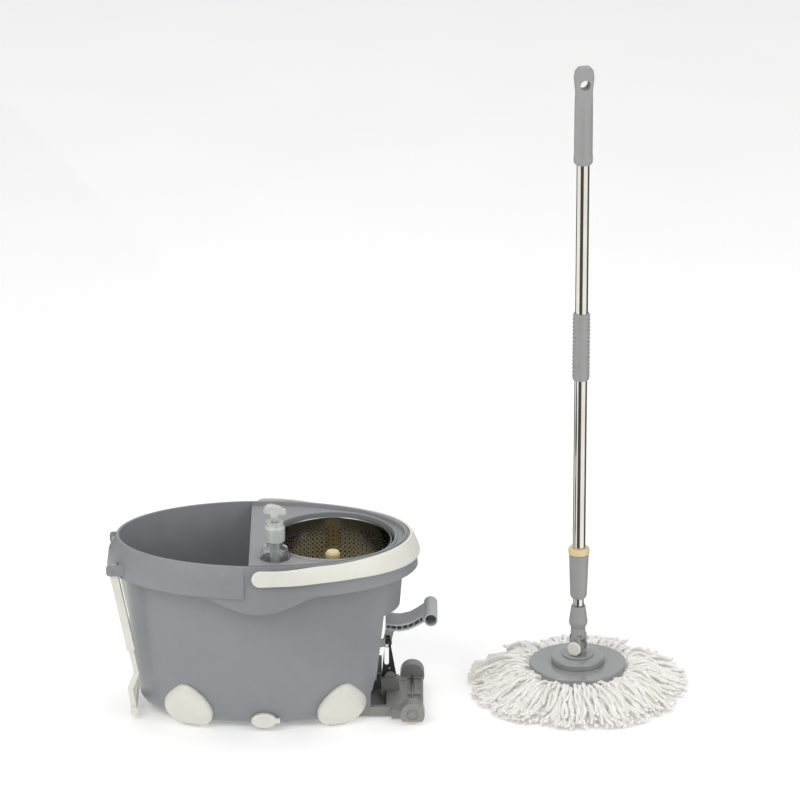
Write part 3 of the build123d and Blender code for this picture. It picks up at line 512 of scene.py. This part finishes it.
H_IN = [(228.0, 242.0, 151.0), (263.0, 238.1, 147.1), (287.0, 228.1, 137.1), (302.0, 224.5, 133.5)]
TUB_OUT = [(5.0, 175.0, 90.0), (12.0, 187.0, 99.0), (22.0, 193.0, 104.0), (75.0, 204.0, 114.0), (239.0, 218.0, 127.0), (287.0, 227.0, 136.0)]
FOOT_OUT = [(0.0, 197.0, 113.5), (8.0, 203.5, 118.5), (24.0, 207.5, 121.0), (60.0, 212.0, 123.5), (90.0, 214.5, 124.8)]


def interp(x, pts):
    return float(np.interp(x, [p[0] for p in pts], [p[1] for p in pts]))


def make_handle():
    """one crowned band swept round the right half of the rim, with round ends"""
    X_END, HALF = -15.0, 14.0
    Z_LO = [(-20, 258.4), (25, 260.3), (80, 261.2), (140, 261.5), (205, 258.5), (260, 256.5)]
    Z_HI = [(-20, 286.2), (25, 285.5), (115, 285.2), (140, 286.0), (205, 288.5), (260, 290.5)]
    xs = []
    for q in range(13):
        xs.append(X_END + HALF * (1 - math.cos(math.pi / 2 * q / 12)))
    a_mid = lev(H_IN, 272)[0]
    th0 = math.acos(max(-1, min(1, xs[-1] / a_mid)))
    stations = [("cap", -1, x) for x in xs[:-1]]
    NT = 150
    for q in range(NT + 1):
        stations.append(("arc", 0, -th0 + 2 * th0 * q / NT))
    stations += [("cap", 1, x) for x in xs[:-1][::-1]]
    rows = []
    for kind, side, v in stations:
        if kind == "cap":
            x_ref = v
            d = max(0.0, v - X_END)
            f = math.sqrt(max(0.0, 1 - (1 - d / HALF) ** 2))
        else:
            x_ref = a_mid * math.cos(v)
            side = -1 if v < 0 else 1
            f = 1.0
        zl, zh = interp(x_ref, Z_LO), interp(x_ref, Z_HI)
        zc, hh = (zl + zh) / 2, (zh - zl) / 2 * f
        tf = 0.25 + 0.75 * math.sqrt(f) if f < 1 else 1.0
        prof = []
        n = 12
        rc = min(2.3, hh * 0.45)
        for q in range(n + 1):
            t = -1 + 2 * q / n
            prof.append((zc + t * (hh - rc * 0.9), 5.0 + 1.0 * (1 - t * t)))
        for q in range(1, 5):
            an = math.pi / 2 * q / 4
            prof.append((zc + hh - rc * 0.9 + rc * 0.9 * math.sin(an), 5.0 - 2.2 * (1 - math.cos(an))))
        for q in range(1, 4):
            an = math.pi / 2 * q / 3
            prof.append((zc + hh - 0.9 * (1 - math.cos(an)), 2.8 - 2.5 * math.sin(an)))
        for q in range(1, 6):
            t = 1 - 2 * q / 6
            prof.append((zc + t * hh, 0.3))
        for q in range(0, 4):
            an = math.pi / 2 * (3 - q) / 3
            prof.append((zc - hh + 0.9 * (1 - math.cos(an)), 2.8 - 2.5 * math.sin(an)))
        for q in range(3, 0, -1):
            an = math.pi / 2 * q / 4
            prof.append((zc - hh + rc * 0.9 - rc * 0.9 * math.sin(an), 5.0 - 2.2 * (1 - math.cos(an))))
        row = []
        for z, off in prof:
            o2 = 3.0 + (off - 3.0) * tf
            a, b = lev(H_IN, z)
            if kind == "cap":
                c_ = max(-1, min(1, x_ref / (a + o2)))
                x, y = x_ref, side * (b + o2) * math.sqrt(1 - c_ * c_)
            else:
                x, y = (a + o2) * math.cos(v), (b + o2) * math.sin(v)
            # towards its ends the band runs flat, parallel to the long side
            w = 1 - min(1.0, max(0.0, (x_ref - 12.0) / 80.0))
            w = w * w * (3 - 2 * w)
            y_flat = side * (149.9 + (o2 - 0.3) * 4.3 / 5.7)
            y = y * (1 - w) + y_flat * w
            row.append(T(x, y, z))
        rows.append(row)
    m_ = len(rows[0])
    vs = [p for r in rows for p in r]
    fs = []
    for i in range(len(rows) - 1):
        for q in range(m_):
            q2 = (q + 1) % m_
            fs.append((i * m_ + q, (i + 1) * m_ + q, (i + 1) * m_ + q2, i * m_ + q2))
    fs.append(tuple(range(m_)))
    fs.append(tuple((len(rows) - 1) * m_ + q for q in range(m_))[::-1])
    o = new_mesh("carry_band", vs, fs, MAT["cream_plastic"])
    bm = bmesh.new()
    bm.from_mesh(o.data)
    bmesh.ops.recalc_face_normals(bm, faces=bm.faces)
    bm.to_mesh(o.data)
    bm.free()
    for s_ in (-1, 1):
        bpy.ops.mesh.primitive_cylinder_add(vertices=48, radius=0.0042, depth=0.0072, location=T(-1.5, s_ * 149.6, 272.0), rotation=(math.pi / 2, 0, 0))
        c = bpy.context.object
        bo = o.modifiers.new("bore", "BOOLEAN")
        bo.operation = "DIFFERENCE"
        bo.solver = "EXACT"
        bo.object = c
        dg = bpy.context.evaluated_depsgraph_get()
        final = bpy.data.meshes.new_from_object(o.evaluated_get(dg))
        o.modifiers.clear()
        o.data = final
        bpy.data.objects.remove(c, do_unlink=True)
    o.data.polygons.foreach_set("use_smooth", [True] * len(o.data.polygons))
    o.data.set_sharp_from_angle(angle=math.radians(50))
    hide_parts("carry_handle")
    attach(o, BODY_OF["carry_handle"])


make_handle()


def make_feet():
    """four domed pads, shaped like rounded leaves, that wrap the foot of the tub"""
    leaf = [(-125, 71), (-138, 61), (-150.5, 44), (-154.3, 28), (-149, 13), (-136, 3.4), (-122, 0.5), (-98, 0.5), (-85.5, 5), (-78.5, 18), (-79.5, 34), (-91.5, 52.5), (-110, 68)]
    n = len(leaf)
    out = []
    for i in range(n):
        p0, p1, p2, p3 = (np.array(leaf[(i + q) % n], float) for q in (-1, 0, 1, 2))
        for q in range(8):
            t = q / 8
            out.append(0.5 * (2 * p1 + (p2 - p0) * t + (2 * p0 - 5 * p1 + 4 * p2 - p3) * t * t + (3 * p1 - p0 - 3 * p2 + p3) * t ** 3))
    out = [(x, max(z, 0.3)) for x, z in out]
    cx_, cz_ = -116.0, 30.0
    vs, fs = [], []
    M, NR = len(out), 16
    for sx in (1, -1):
        for sy in (-1, 1):
            base = len(vs)
            for layer in (0, 1):
                for r_ in range(NR + 1):
                    rho = math.sin(math.pi / 2 * r_ / NR) if layer == 0 else r_ / NR
                    w = (1 - rho ** 6.0) ** 0.55 if layer == 0 else 0.0
                    for x, z in out:
                        dx_ = -6.0 if sx < 0 else 0.0      # the pads on the right stand a little further out
                        xx, zz = cx_ + (x - cx_) * rho + dx_, cz_ + (z - cz_) * rho
                        a, b = lev(TUB_OUT, max(zz, 5.0))
                        yi = b * math.sqrt(max(0.0, 1 - (xx / a) ** 2)) - 0.4
                        a2, b2 = lev(FOOT_OUT, max(zz, 0.0))
                        yo = b2 * math.sqrt(max(0.0, 1 - (xx / a2) ** 2)) - 0.1
                        vs.append(T(sx * xx, sy * (yi + max(0.0, yo - yi) * w), zz))
            L = (NR + 1) * M
            for layer in (0, 1):
                for r_ in range(NR):
                    for q in range(M):
                        q2 = (q + 1) % M
                        i0 = base + layer * L
                        fs.append((i0 + r_ * M + q, i0 + r_ * M + q2, i0 + (r_ + 1) * M + q2, i0 + (r_ + 1) * M + q))
            # sole under the tub's edge
            b0 = len(vs)
            K = 24
            for i in range(K + 1):
                x = -127.0 + 32.0 * i / K
                e = math.sqrt(max(0.0, 1 - (abs(2 * i / K - 1)) ** 4))
                yo = 113.5 * math.sqrt(1 - (x / 197.0) ** 2) - 9.0
                yi = 74.0 * math.sqrt(1 - (x / 160.0) ** 2)
                ym, yh = (yo + yi) / 2, (yo - yi) / 2 * (0.55 + 0.45 * e)
                for y, z in ((ym + yh, 0.6), (ym + yh - 0.8, 0.0), (ym - yh + 0.8, 0.0), (ym - yh, 0.6), (ym - yh, 4.95), (ym + yh, 4.95)):
                    vs.append(T(sx * (x + (-6.0 if sx < 0 else 0.0)), sy * y, z))
            for i in range(K):
                for q in range(6):
                    q2 = (q + 1) % 6
                    fs.append((b0 + i * 6 + q, b0 + i * 6 + q2, b0 + (i + 1) * 6 + q2, b0 + (i + 1) * 6 + q))
            fs.append(tuple(b0 + q for q in range(6)))
            fs.append(tuple(b0 + K * 6 + q for q in range(6))[::-1])
    o = new_mesh("leaf_feet", vs, fs, MAT["cream_plastic"])
    bm = bmesh.new()
    bm.from_mesh(o.data)
    bmesh.ops.remove_doubles(bm, verts=bm.verts, dist=1e-5)
    bmesh.ops.recalc_face_normals(bm, faces=bm.faces)
    bm.to_mesh(o.data)
    bm.free()
    o.data.set_sharp_from_angle(angle=math.radians(60))
    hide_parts("foot_pads")
    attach(o, BODY_OF["foot_pads"])


make_feet()


def make_caps():
    """stepped round covers over the ends of the wheel axle"""
    lo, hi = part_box("wheel_guard_caps")
    r0 = (hi[0] - lo[0]) / 2
    cx_, cz_ = (lo[0] + hi[0]) / 2, (lo[2] + hi[2]) / 2
    vs, fs = [], []
    S = 72
    for y_out, sgn in ((lo[1], 1), (hi[1], -1)):
        d = [(0.0, 0.0), (r0 * 0.30, 0.00002), (r0 * 0.48, 0.0002), (r0 * 0.56, 0.0006), (r0 * 0.60, 0.0011), (r0 * 0.66, 0.0012), (r0 * 0.72, 0.0008), (r0 * 0.84, 0.0007), (r0 * 0.93, 0.0010), (r0 * 0.985, 0.0016), (r0, 0.0024), (r0, 0.0036)]
        b0 = len(vs)
        for i in range(S):
            a = 2 * math.pi * i / S
            for r, dy in d:
                vs.append((cx_ + r * math.cos(a), y_out + sgn * dy, cz_ + r * math.sin(a)))
        m_ = len(d)
        for i in range(S):
            j = (i + 1) % S
            for q in range(m_ - 1):
                fs.append((b0 + i * m_ + q, b0 + j * m_ + q, b0 + j * m_ + q + 1, b0 + i * m_ + q + 1))
    o = new_mesh("stepped_caps", vs, fs, MAT["base_grey"])
    bm = bmesh.new()
    bm.from_mesh(o.data)
    bmesh.ops.remove_doubles(bm, verts=bm.verts, dist=1e-6)
    bmesh.ops.recalc_face_normals(bm, faces=bm.faces)
    bm.to_mesh(o.data)
    bm.free()
    o.data.set_sharp_from_angle(angle=math.radians(40))
    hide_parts("wheel_guard_caps")
    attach(o, BODY_OF["wheel_guard_caps"])


make_caps()


def make_deck():
    """the flat step of the pedal base between the tub and the wheels"""
    pts = [(191.0, -47.0), (222.6, -47.0), (222.6, 47.0), (191.0, 47.0), (191.0, 27.0), (212.0, 27.0), (212.0, 9.0), (191.0, 9.0)]
    bm = bmesh.new()
    v0 = [bm.verts.new(T(x, y, 15.6)) for x, y in pts]
    v1 = [bm.verts.new(T(x, y, 17.7)) for x, y in pts]
    bm.faces.new(v0[::-1])
    bm.faces.new(v1)
    for i in range(len(pts)):
        j = (i + 1) % len(pts)
        bm.faces.new((v0[i], v0[j], v1[j], v1[i]))
    bmesh.ops.bevel(bm, geom=list(bm.edges), offset=0.0005, segments=2, affect="EDGES", profile=0.5)
    bmesh.ops.recalc_face_normals(bm, faces=bm.faces)
    me_ = bpy.data.meshes.new("base_deck")
    bm.to_mesh(me_)
    bm.free()
    me_.materials.append(MAT["base_grey"])
    me_.polygons.foreach_set("use_smooth", [True] * len(me_.polygons))
    me_.set_sharp_from_angle(angle=math.radians(40))
    o = bpy.data.objects.new("base_deck", me_)
    bpy.context.scene.collection.objects.link(o)
    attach(o, BODY_OF["drive_base"])


make_deck()


def make_mid_grip():
    """moulded sleeve with saw-tooth ribs down its sides and a waved front"""
    lo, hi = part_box("mid_grip")
    R = (hi[0] - lo[0]) / 2
    cx_, cy_ = (lo[0] + hi[0]) / 2, (lo[1] + hi[1]) / 2
    z0, z1 = lo[2], hi[2]
    H = z1 - z0
    NZ, NA = 180, 128
    vs, fs = [], []
    rings = []
    rb = 0.01006
    zz = [(z0, rb), (z0, R * 0.86)]
    for i in range(NZ + 1):
        t = i / NZ
        zz.append((z0 + H * (0.004 + 0.992 * t), None))
    zz += [(z1, R * 0.86), (z1, rb)]
    for z, rfix in zz:
        row = []
        t = (z - z0) / H
        for q in range(NA):
            a = 2 * math.pi * q / NA
            if rfix is not None:
                r = rfix
            else:
                r = R * 0.925
                e = min(1.0, min(t, 1 - t) / 0.05)
                side = max(0.0, abs(math.cos(a)) - 0.62) / 0.38
                tooth = abs(((z - z0) / 0.0062) % 1.0 - 0.5) * 2
                r += R * (0.075 * side * (tooth * 2.0 - 1.0)) * e
                front = max(0.0, abs(math.sin(a)) - 0.35) / 0.65
                wave = math.sin(2 * math.pi * (z - z0) / 0.021 + 2.4 * math.cos(a) * 2.0)
                r += R * 0.016 * front * (1 if wave > 0.25 else (-1 if wave < -0.25 else wave * 4)) * e
                if e < 1:
                    r = R * (0.88 + 0.075 * math.sin(math.pi / 2 * e)) if e < 0.6 else r * (0.985 + 0.015 * e)
                r = min(r, R)
            row.append(len(vs))
            vs.append((cx_ + r * math.cos(a), cy_ + r * math.sin(a), z))
        rings.append(row)
    for i in range(len(rings) - 1):
        for q in range(NA):
            q2 = (q + 1) % NA
            fs.append((rings[i][q], rings[i][q2], rings[i + 1][q2], rings[i + 1][q]))
    for q in range(NA):
        q2 = (q + 1) % NA
        fs.append((rings[-1][q], rings[-1][q2], rings[0][q2], rings[0][q]))
    o = new_mesh("ribbed_sleeve", vs, fs, MAT["grip_grey"])
    bm = bmesh.new()
    bm.from_mesh(o.data)
    bmesh.ops.recalc_face_normals(bm, faces=bm.faces)
    bm.to_mesh(o.data)
    bm.free()
    o.data.set_sharp_from_angle(angle=math.radians(35))
    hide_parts("mid_grip")
    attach(o, BODY_OF["mid_grip"])


make_mid_grip()

for n, w in (("drain_plug", 0.0010), ("top_grip", 0.0005), ("bucket_rim", 0.0010),
             ("pull_handle_sleeves", 0.0012), ("pull_handle_loop", 0.0016), ("pull_handle_brackets", 0.0010), ("pedal_arm", 0.0006), ("guide_bracket", 0.0004),
             ("pump_head", 0.0008), ("pump_collar", 0.0003), ("lock_sleeve", 0.0004), ("lock_ring", 0.0005), ("pole_socket", 0.0006), ("swivel_hub", 0.0005),
             ("hinge_caps", 0.0004), ("mop_plate", 0.0008), ("plate_cover", 0.0009), ("basket_hub", 0.0006), ("basket_surround", 0.0009), ("bucket_tub", 0.0009)):
    soften(n, w, 3 if w >= 0.0016 else 2)

for name, o in NODES.items():
    if not o.hide_render:
        o.data.polygons.foreach_set("use_smooth", [True] * len(o.data.polygons))
        o.data.set_sharp_from_angle(angle=math.radians(35))

# ------------------------------------------------------------------ stage, lights and camera
me = bpy.data.meshes.new("floor")
me.from_pydata([(-12, -8, 0), (12, -8, 0), (12, 14, 0), (-12, 14, 0)], [], [(0, 1, 2, 3)])
floor = bpy.data.objects.new("floor", me)
bpy.context.scene.collection.objects.link(floor)
fm = Mat("floor")
fn = fm.noise(3.0, 3.0)
fr = fm.ramp(fn.outputs["Fac"], [(0.3, (0.86, 0.86, 0.86, 1)), (0.7, (0.88, 0.88, 0.88, 1))])
fm.link(fr.outputs[0], fm.p.inputs["Base Color"])
fm.p.inputs["Roughness"].default_value = 0.7
fm.p.inputs["Emission Color"].default_value = (1, 1, 1, 1)
fm.p.inputs["Emission Strength"].default_value = 0.17
me.materials.append(fm.m)

# a ring of light and dark cards lying round the mop, out of sight of the camera: only the polished tubes and the basket show it
def card_mat(name, v):
    c = Mat(name)
    n_ = c.noise(2.0, 2.0)
    r_ = c.ramp(n_.outputs["Fac"], [(0.3, (v, v * 0.99, v * 0.96, 1)), (0.7, (v * 1.06, v * 1.05, v * 1.02, 1))])
    c.link(r_.outputs[0], c.p.inputs["Emission Color"])
    c.p.inputs["Emission Strength"].default_value = 1.0
    c.p.inputs["Base Color"].default_value = (0.02, 0.02, 0.02, 1)
    c.p.inputs["Roughness"].default_value = 0.9
    return c.m


def cards(c, name, sectors, r0, r1):
    """sectors: (from, to, brightness), degrees measured from the camera's side, positive to the right"""
    for k_, (a0, a1, v) in enumerate(sectors):
        vs, fs = [], []
        n_ = max(2, int((a1 - a0) / 3))
        for i in range(n_ + 1):
            a = math.radians(a0 + (a1 - a0) * i / n_)
            for r in (r0, r1):
                vs.append((c[0] + r * math.sin(a), c[1] - r * math.cos(a), 0.0012 + 0.0002 * (k_ % 2)))
        for i in range(n_):
            fs.append((2 * i, 2 * i + 2, 2 * i + 3, 2 * i + 1))
        o = new_mesh("%s_%d" % (name, k_), vs, fs, card_mat("%s_mat_%d" % (name, k_), v), smooth=False)
        o.visible_camera = False
        o.visible_diffuse = False
        o.visible_shadow = False
        o.visible_transmission = False


cards(M_C, "card", [(-180, -160, 0.35), (-160, -120, 0.06), (-112, -46, 1.25), (-44, 12, 0.05), (16, 86, 1.25), (90, 140, 0.06), (140, 180, 0.35)], 0.20, 6.0)

world = bpy.data.worlds.new("studio")
bpy.context.scene.world = world
world.use_nodes = True
wt = world.node_tree
wt.nodes.clear()
wo = wt.nodes.new("ShaderNodeOutputWorld")
bgd = wt.nodes.new("ShaderNodeBackground")
tc = wt.nodes.new("ShaderNodeTexCoord")
sep = wt.nodes.new("ShaderNodeSeparateXYZ")
wt.links.new(tc.outputs["Generated"], sep.inputs[0])
at = wt.nodes.new("ShaderNodeMath")
at.operation = "ARCTAN2"
wt.links.new(sep.outputs["X"], at.inputs[0])
wt.links.new(sep.outputs["Y"], at.inputs[1])
mr = wt.nodes.new("ShaderNodeMapRange")
mr.inputs["From Min"].default_value = -math.pi
mr.inputs["From Max"].default_value = math.pi
wt.links.new(at.outputs[0], mr.inputs["Value"])
ramp = wt.nodes.new("ShaderNodeValToRGB")
stops = [(0.0, 0.10), (0.055, 0.12), (0.085, 1.25), (0.20, 1.35), (0.26, 0.75), (0.30, 0.10), (0.42, 0.12), (0.47, 0.9), (0.53, 0.9), (0.60, 0.15), (0.70, 0.10), (0.75, 0.80), (0.80, 1.35), (0.91, 1.25), (0.94, 0.12), (1.0, 0.10)]
while len(ramp.color_ramp.elements) < len(stops):
    ramp.color_ramp.elements.new(0.5)
for e, (p_, v_) in zip(ramp.color_ramp.elements, stops):
    e.position = p_
    e.color = (v_, v_, v_ * 1.01, 1)
wt.links.new(mr.outputs[0], ramp.inputs[0])
lp = wt.nodes.new("ShaderNodeLightPath")
mixc = wt.nodes.new("ShaderNodeMix")
mixc.data_type = "RGBA"
wt.links.new(lp.outputs["Is Glossy Ray"], mixc.inputs["Factor"])
mixc.inputs["A"].default_value = (1.0, 1.0, 1.0, 1)
wt.links.new(ramp.outputs[0], mixc.inputs["B"])
wt.links.new(mixc.outputs["Result"], bgd.inputs[0])
bgd.inputs[1].default_value = 0.75
wt.links.new(bgd.outputs[0], wo.inputs[0])


def area(name, loc, target, size, power, col=(1, 1, 1)):
    l = bpy.data.lights.new(name, "AREA")
    l.shape = "RECTANGLE"
    l.size, l.size_y = size
    l.energy = power
    l.color = col
    o = bpy.data.objects.new(name, l)
    bpy.context.scene.collection.objects.link(o)
    o.location = loc
    o.rotation_mode = "QUATERNION"
    o.rotation_quaternion = (Vector(target) - Vector(loc)).to_track_quat("-Z", "Y")
    return o


area("key", (-1.6, -1.8, 2.6), (0, 0, 0.2), (1.6, 1.6), 28)
area("fill", (2.2, -1.6, 1.8), (0.1, 0, 0.3), (1.6, 2.0), 16)
area("top", (0.0, 0.6, 3.0), (0, 0, 0), (2.5, 2.0), 22)

PITCH = math.radians(21.0)
DIST = 10.0
SC = 0.6375 * 1000            # pixels per metre at the aim point
AIM = Vector((centre("bucket_tub")[0] + (400 - 264.5) / SC, centre("bucket_tub")[1], 0.0))
cam = bpy.data.cameras.new("cam")
cam.sensor_width = 36.0
cam.lens = SC * DIST / 800 * 36.0
co = bpy.data.objects.new("cam", cam)
bpy.context.scene.collection.objects.link(co)
back = Vector((0, -math.cos(PITCH), math.sin(PITCH)))
up = Vector((0, math.sin(PITCH), math.cos(PITCH)))
V0 = 703.0                   # image row of the bucket's middle at floor level
co.location = AIM + back * DIST + up * ((V0 - 400) / SC)
co.rotation_mode = "QUATERNION"
co.rotation_quaternion = (-back).to_track_quat("-Z", "Y")
cam.clip_start, cam.clip_end = 0.1, 60.0
bpy.context.scene.camera = co
bpy.context.scene.view_settings.view_transform = "Standard"
bpy.context.scene.view_settings.look = "None"
